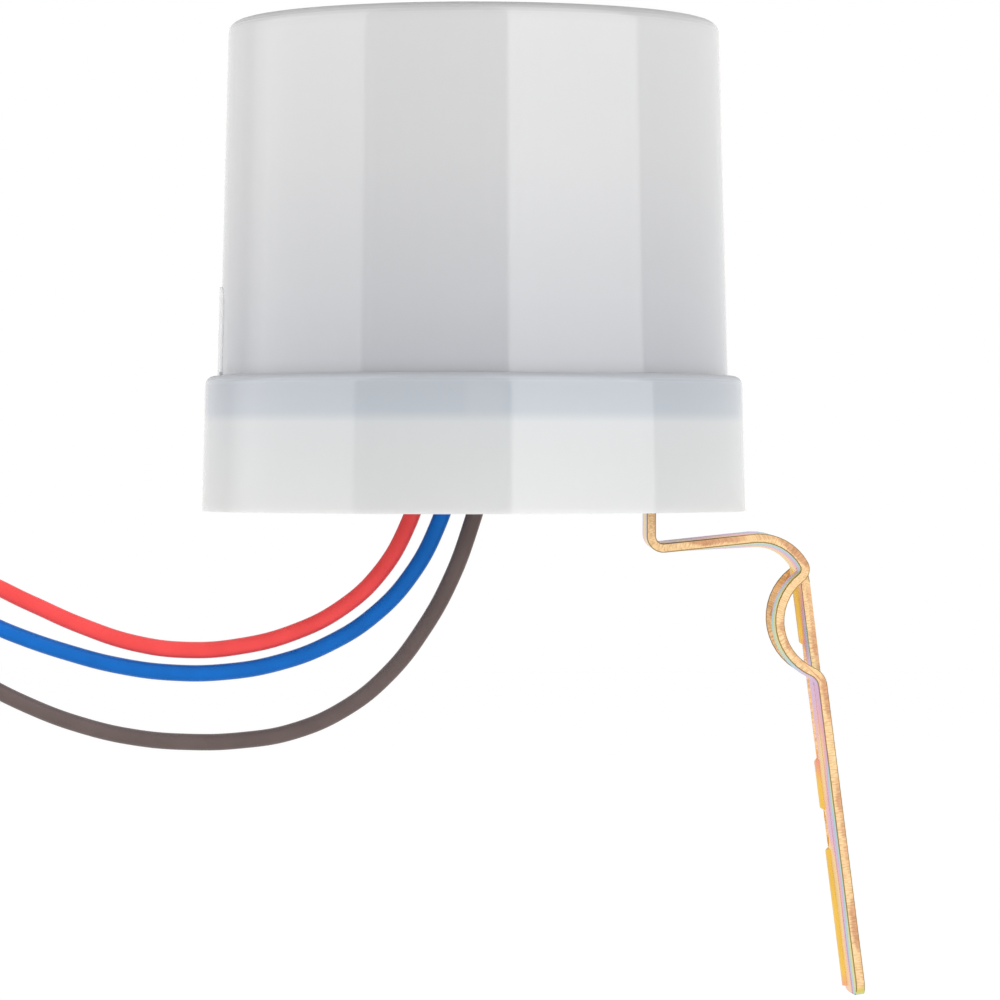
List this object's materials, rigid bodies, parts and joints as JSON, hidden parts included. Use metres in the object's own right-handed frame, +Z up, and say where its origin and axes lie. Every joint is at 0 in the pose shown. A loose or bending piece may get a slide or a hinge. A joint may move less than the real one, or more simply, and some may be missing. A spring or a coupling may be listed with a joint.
{
  "type": "photocell switch",
  "caption": "Outdoor dusk-to-dawn photocell switch: milky stepped cylindrical cover with sealed relay board, flying leads and a bent steel pole bracket with strap bridge, slot and screw hole.",
  "frame": {"origin": "centre of the wall screw hole in the bracket's long leg, at half the strip's thickness", "axes": "+Z up along the cover's axis, +X from the cover towards the bracket's pole side, +Y across the bracket strip"},
  "size_m": [0.1634, 0.072, 0.128],
  "materials": {
    "cover": "milky translucent polycarbonate, smooth gloss",
    "base": "light grey moulded plastic",
    "seal": "flat black gasket",
    "board": "paper phenolic board",
    "screw_steel": "bright zinc-plated steel",
    "relay_case": "moulded relay case",
    "film_capacitor": "boxed film capacitor",
    "capacitor_sleeve": "shrink sleeve",
    "black_epoxy": "moulded epoxy",
    "diode_glass": "glass bead diode",
    "resistor_coat": "lacquered resistor",
    "power_resistor_coat": "flameproof coat",
    "varistor_coat": "dipped epoxy",
    "sensor_ceramic": "lacquered ceramic disc",
    "tinned_wire": "tinned copper",
    "solder": "solder",
    "grommet_rubber": "moulded rubber",
    "red_insulation": "soft insulation, satin",
    "blue_insulation": "soft insulation, satin",
    "black_insulation": "soft insulation, satin",
    "tie_plastic": "plastic band",
    "bracket_zinc": "yellow-passivated zinc plate, iridescent",
    "insert_brass": "turned brass"
  },
  "bodies": {
    "root": {"cover": "cover", "base": "base", "seal_ring": "seal", "circuit_board": "board", "board_screws": "screw_steel", "relay": "relay_case", "dropper_capacitor": "film_capacitor", "smoothing_capacitor": "capacitor_sleeve", "rectifier_diodes": "black_epoxy", "zener_diode": "diode_glass", "small_resistors": "resistor_coat", "power_resistor": "power_resistor_coat", "transistor": "black_epoxy", "varistor": "varistor_coat", "photoresistor": "sensor_ceramic", "photoresistor_legs": "tinned_wire", "solder_joints": "solder", "lead_tails": "tinned_wire", "wire_grommet": "grommet_rubber", "red_lead": "red_insulation", "blue_lead": "blue_insulation", "black_lead": "black_insulation", "lead_tips": "tinned_wire", "lead_tie": "tie_plastic", "bracket": "bracket_zinc", "bracket_screw": "screw_steel", "spring_washer": "screw_steel", "flat_washer": "screw_steel", "threaded_insert": "insert_brass"}
  },
  "joints": []
}
